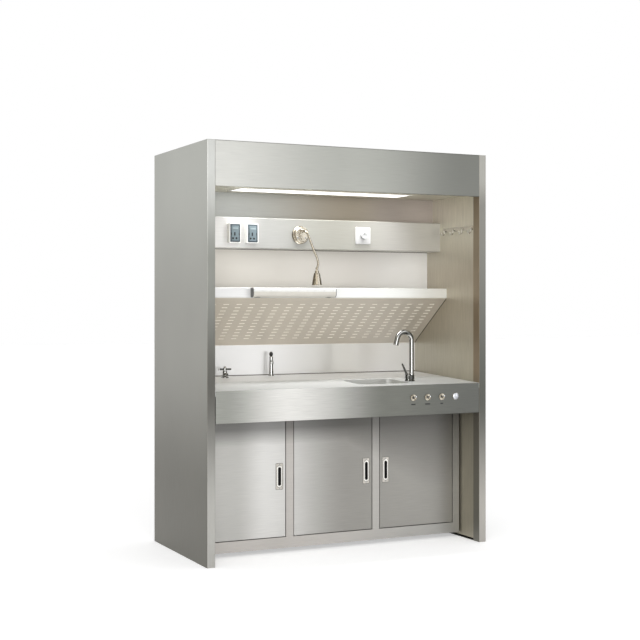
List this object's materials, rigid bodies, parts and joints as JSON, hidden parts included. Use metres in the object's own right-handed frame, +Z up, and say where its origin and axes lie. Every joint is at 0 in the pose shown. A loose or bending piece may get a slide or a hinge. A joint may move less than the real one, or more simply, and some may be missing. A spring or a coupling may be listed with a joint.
{
  "type": "pathology workstation",
  "caption": "Stainless ventilated pathology bench with service box, shelf, perforated sloping intake, worktop with sink and taps, apron controls and a recessed cupboard with hinged doors.",
  "frame": {"origin": "centre of the bounding box at floor level", "axes": "+X to the user's right, +Y from the open front towards the rear panel, +Z up"},
  "size_m": [1.5, 0.7825, 1.99],
  "materials": {
    "steel_shell": "brushed",
    "steel_lining": "satin",
    "steel_fascia": "brushed",
    "steel_bright": "satin",
    "steel_worktop": "satin",
    "steel_door": "brushed",
    "steel_hidden": "mill",
    "chrome": "polished",
    "nickel": "satin",
    "white_plastic": "gloss",
    "opal_plastic": "opal",
    "beige_plastic": "satin",
    "socket_grey": "matte",
    "black_plastic": "matte",
    "pipe_plastic": "matte",
    "bush_plastic": "matte",
    "motor_paint": "matte",
    "fan_aluminium": "cast",
    "zinc": "zinc"
  },
  "bodies": {
    "cabinet": {"left_side_panel": "steel_shell", "right_side_panel": "steel_shell", "left_inner_liner": "steel_lining", "right_inner_liner": "steel_lining", "rear_panel": "steel_shell", "roof_panel": "steel_shell", "fascia_panel": "steel_fascia", "ceiling_panel": "steel_lining", "ceiling_light_frame": "white_plastic", "ceiling_light_diffuser": "opal_plastic", "upper_rear_wall": "steel_lining", "service_box": "steel_bright", "lower_rear_wall": "steel_bright", "shelf": "steel_bright", "intake_panel": "steel_lining", "socket_boxes": "white_plastic", "socket_inserts": "socket_grey", "dimmer_plate": "white_plastic", "lamp_base": "nickel", "shelf_lamp_body": "white_plastic", "shelf_lamp_diffuser": "beige_plastic", "shelf_lamp_end_caps": "black_plastic", "worktop": "steel_worktop", "backsplash": "steel_bright", "sink_bowl": "steel_worktop", "sink_strainer": "chrome", "drain_trap": "pipe_plastic", "apron_panel": "steel_fascia", "control_bezels": "nickel", "faucet_body": "chrome", "tap_body": "chrome", "valve_body": "chrome", "hook_rail": "chrome", "cabinet_face_frame": "steel_door", "cabinet_carcass": "steel_hidden", "levelling_feet": "zinc", "hinge_bushes": "bush_plastic", "fan_housing": "steel_hidden", "fan_motor": "motor_paint", "exhaust_collar": "steel_shell", "panel_screws": "zinc"},
    "left_door": {"left_door": "steel_door", "left_door_pull": "steel_bright"},
    "middle_door": {"middle_door": "steel_door", "middle_door_pull": "steel_bright"},
    "right_door": {"right_door": "steel_door", "right_door_pull": "steel_bright"},
    "faucet_spout": {"faucet_spout": "chrome"},
    "faucet_lever": {"faucet_lever": "chrome"},
    "tap_knob": {"tap_knob": "black_plastic"},
    "valve_handle": {"valve_handle": "chrome"},
    "lamp_arm": {"lamp_arm": "nickel"},
    "lamp_head": {"lamp_head": "nickel", "lamp_lens": "opal_plastic"},
    "switch_lever_1": {"switch_lever_1": "chrome"},
    "switch_lever_2": {"switch_lever_2": "chrome"},
    "switch_lever_3": {"switch_lever_3": "chrome"},
    "push_button": {"push_button": "chrome"},
    "dimmer_knob": {"dimmer_knob": "white_plastic"},
    "fan_impeller": {"fan_impeller": "fan_aluminium"}
  },
  "joints": [
    {"name": "left_door_hinge", "type": "hinge", "parent": "cabinet", "child": "left_door", "pos_m": [-0.6515, -0.17475, 0.3635], "axis": [0, 0, -1], "range_deg": [0, 90]},
    {"name": "middle_door_hinge", "type": "hinge", "parent": "cabinet", "child": "middle_door", "pos_m": [-0.22313, -0.17475, 0.3635], "axis": [0, 0, -1], "range_deg": [0, 110]},
    {"name": "right_door_hinge", "type": "hinge", "parent": "cabinet", "child": "right_door", "pos_m": [0.6515, -0.17475, 0.3635], "axis": [0, 0, 1], "range_deg": [0, 90]},
    {"name": "faucet_spout_swivel", "type": "hinge", "parent": "cabinet", "child": "faucet_spout", "pos_m": [0.421, -0.18125, 0.84075], "axis": [0, 0, 1], "range_deg": [-90, 90]},
    {"name": "faucet_lever_turn", "type": "hinge", "parent": "cabinet", "child": "faucet_lever", "pos_m": [0.393, -0.18125, 0.84075], "axis": [0, 0, 1], "range_deg": [0, 90]},
    {"name": "tap_knob_turn", "type": "hinge", "parent": "cabinet", "child": "tap_knob", "pos_m": [-0.165, 0.25075, 0.92934], "axis": [0, 0, 1], "range_deg": [0, 270]},
    {"name": "valve_handle_turn", "type": "hinge", "parent": "cabinet", "child": "valve_handle", "pos_m": [-0.436, 0.21375, 0.86375], "axis": [0, 0, 1], "range_deg": [0, 90]},
    {"name": "lamp_arm_swing", "type": "hinge", "parent": "cabinet", "child": "lamp_arm", "pos_m": [-0.107, 0.00075, 1.566], "axis": [0, -1, 0], "range_deg": [-8, 60]},
    {"name": "lamp_head_tilt", "type": "hinge", "parent": "lamp_arm", "child": "lamp_head", "pos_m": [-0.049, -0.05325, 1.364], "axis": [1, 0, 0], "range_deg": [-25, 25]},
    {"name": "switch_lever_1_flip", "type": "hinge", "parent": "cabinet", "child": "switch_lever_1", "pos_m": [0.328, -0.35925, 0.74], "axis": [1, 0, 0], "range_deg": [0, 24]},
    {"name": "switch_lever_2_flip", "type": "hinge", "parent": "cabinet", "child": "switch_lever_2", "pos_m": [0.409, -0.35925, 0.74], "axis": [1, 0, 0], "range_deg": [0, 24]},
    {"name": "switch_lever_3_flip", "type": "hinge", "parent": "cabinet", "child": "switch_lever_3", "pos_m": [0.49, -0.35925, 0.74], "axis": [1, 0, 0], "range_deg": [0, 24]},
    {"name": "push_button_press", "type": "slide", "parent": "cabinet", "child": "push_button", "axis": [0, 1, 0], "range_m": [0, 0.004], "stiffness_N_per_m": 400, "springref_m": -0.003},
    {"name": "dimmer_knob_turn", "type": "hinge", "parent": "cabinet", "child": "dimmer_knob", "pos_m": [0.247, 0.01175, 1.55], "axis": [0, -1, 0], "range_deg": [0, 270]},
    {"name": "fan_spin", "type": "hinge", "parent": "cabinet", "child": "fan_impeller", "pos_m": [0, 0.23875, 1.8725], "axis": [0, 0, 1], "continuous": true}
  ]
}
